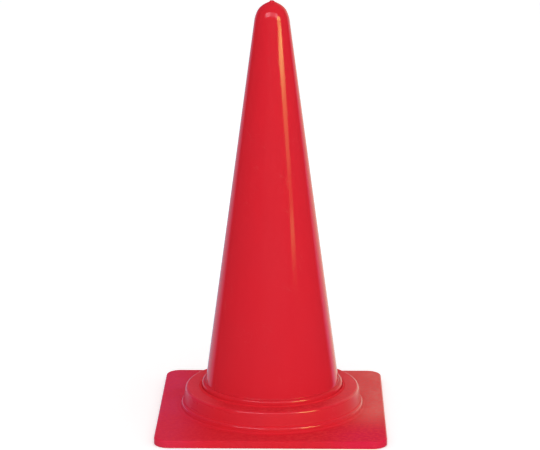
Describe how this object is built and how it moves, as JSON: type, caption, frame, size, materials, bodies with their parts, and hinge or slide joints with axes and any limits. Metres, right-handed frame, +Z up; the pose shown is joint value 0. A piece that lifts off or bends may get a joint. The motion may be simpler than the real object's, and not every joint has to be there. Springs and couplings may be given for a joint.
{
  "type": "traffic cone",
  "caption": "Tall hollow plastic traffic cone with a domed tip, its foot ring snapped onto a square base with a low round ring, free-standing for marking off an area.",
  "frame": {"origin": "on the ground, on the axis of the cone, at the centre of the square base", "axes": "+Z up along the cone's axis; +X and +Y square to the sides of the base"},
  "size_m": [0.38, 0.38, 0.702],
  "materials": {
    "body_gloss": "polished red polyethylene, glossy with faint flow marks and handling scratches",
    "base_grained": "red polyethylene, polished walls, fine grain on the flat top faces"
  },
  "bodies": {
    "root": {"cone_body": "body_gloss", "base": "base_grained"}
  },
  "joints": []
}
